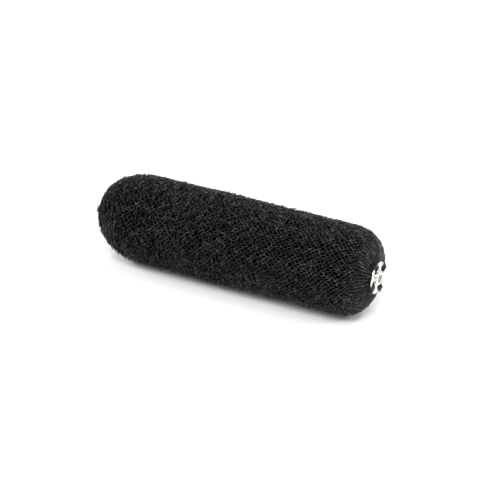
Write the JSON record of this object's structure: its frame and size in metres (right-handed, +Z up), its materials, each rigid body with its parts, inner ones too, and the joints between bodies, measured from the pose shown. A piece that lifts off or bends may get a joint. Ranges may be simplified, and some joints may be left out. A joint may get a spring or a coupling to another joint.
{
  "type": "snap-closed bun roll",
  "caption": "Soft roll of black knitted net with rounded ends and a sew-on snap half at each end, so that it curls sideways and snaps shut as a ring.",
  "frame": {"origin": "middle of the flat strip that the roll lies on, at half its length", "axes": "+X along the roll towards the socket end, +Y towards the inside of the ring that it curls into, +Z up"},
  "size_m": [0.1522, 0.045, 0.0444],
  "materials": {
    "net": "black crimped nylon net, knitted open, slight sheen on the yarn",
    "filling_net": "the same net rolled up on itself, seen only as dark depth",
    "nickel": "bright nickel plate on pressed brass sheet",
    "spring_wire": "drawn spring wire",
    "thread": "twisted black polyester sewing thread"
  },
  "bodies": {
    "section_01": {"cover_01": "net", "filling_01": "filling_net", "stud_face": "nickel", "stud_post": "nickel", "stud_stitches": "thread", "stud_closing_thread": "thread"},
    "section_02": {"cover_02": "net", "filling_02": "filling_net"},
    "section_03": {"cover_03": "net", "filling_03": "filling_net"},
    "section_04": {"cover_04": "net", "filling_04": "filling_net"},
    "section_05": {"cover_05": "net", "filling_05": "filling_net"},
    "section_06": {"cover_06": "net", "filling_06": "filling_net"},
    "section_07": {"cover_07": "net", "filling_07": "filling_net"},
    "section_08": {"cover_08": "net", "filling_08": "filling_net"},
    "section_09": {"cover_09": "net", "filling_09": "filling_net"},
    "section_10": {"cover_10": "net", "filling_10": "filling_net"},
    "section_11": {"cover_11": "net", "filling_11": "filling_net", "socket_face": "nickel", "socket_back": "nickel", "socket_spring": "spring_wire", "socket_stitches": "thread", "socket_closing_thread": "thread"}
  },
  "joints": [
    {"name": "curl", "type": "hinge", "parent": "section_06", "child": "section_07", "pos_m": [0.0075, 0.005, 0.02195], "axis": [0, 0, 1], "range_deg": [0, 36], "stiffness_Nm_per_rad": 0.04, "deforming": ["cover_06", "cover_07", "filling_06", "filling_07"]},
    {"name": "bend_07_08", "type": "hinge", "parent": "section_07", "child": "section_08", "pos_m": [0.0225, 0.005, 0.02195], "axis": [0, 0, 1], "range_deg": [0, 36], "stiffness_Nm_per_rad": 0.04, "deforming": ["cover_08", "filling_08"]},
    {"name": "bend_08_09", "type": "hinge", "parent": "section_08", "child": "section_09", "pos_m": [0.0375, 0.005, 0.02195], "axis": [0, 0, 1], "range_deg": [0, 36], "stiffness_Nm_per_rad": 0.04, "deforming": ["cover_09", "filling_09"]},
    {"name": "bend_09_10", "type": "hinge", "parent": "section_09", "child": "section_10", "pos_m": [0.0525, 0.005, 0.02195], "axis": [0, 0, 1], "range_deg": [0, 36], "stiffness_Nm_per_rad": 0.04, "deforming": ["cover_10", "filling_10"]},
    {"name": "bend_10_11", "type": "hinge", "parent": "section_10", "child": "section_11", "pos_m": [0.0675, 0.005, 0.02195], "axis": [0, 0, 1], "range_deg": [0, 36], "stiffness_Nm_per_rad": 0.04, "deforming": ["cover_11", "filling_11"]},
    {"name": "bend_05_06", "type": "hinge", "parent": "section_06", "child": "section_05", "pos_m": [-0.0075, 0.005, 0.02195], "axis": [0, 0, -1], "range_deg": [0, 36], "stiffness_Nm_per_rad": 0.04, "deforming": ["cover_05", "filling_05"]},
    {"name": "bend_04_05", "type": "hinge", "parent": "section_05", "child": "section_04", "pos_m": [-0.0225, 0.005, 0.02195], "axis": [0, 0, -1], "range_deg": [0, 36], "stiffness_Nm_per_rad": 0.04, "deforming": ["cover_04", "filling_04"]},
    {"name": "bend_03_04", "type": "hinge", "parent": "section_04", "child": "section_03", "pos_m": [-0.0375, 0.005, 0.02195], "axis": [0, 0, -1], "range_deg": [0, 36], "stiffness_Nm_per_rad": 0.04, "deforming": ["cover_03", "filling_03"]},
    {"name": "bend_02_03", "type": "hinge", "parent": "section_03", "child": "section_02", "pos_m": [-0.0525, 0.005, 0.02195], "axis": [0, 0, -1], "range_deg": [0, 36], "stiffness_Nm_per_rad": 0.04, "deforming": ["cover_02", "filling_02"]},
    {"name": "bend_01_02", "type": "hinge", "parent": "section_02", "child": "section_01", "pos_m": [-0.0675, 0.005, 0.02195], "axis": [0, 0, -1], "range_deg": [0, 36], "stiffness_Nm_per_rad": 0.04, "deforming": ["cover_01", "filling_01"]}
  ],
  "couplings": [
    {"joint": "bend_07_08", "follows": "curl", "ratio": 1},
    {"joint": "bend_08_09", "follows": "curl", "ratio": 1},
    {"joint": "bend_09_10", "follows": "curl", "ratio": 1},
    {"joint": "bend_10_11", "follows": "curl", "ratio": 1},
    {"joint": "bend_05_06", "follows": "curl", "ratio": 1},
    {"joint": "bend_04_05", "follows": "curl", "ratio": 1},
    {"joint": "bend_03_04", "follows": "curl", "ratio": 1},
    {"joint": "bend_02_03", "follows": "curl", "ratio": 1},
    {"joint": "bend_01_02", "follows": "curl", "ratio": 1}
  ]
}
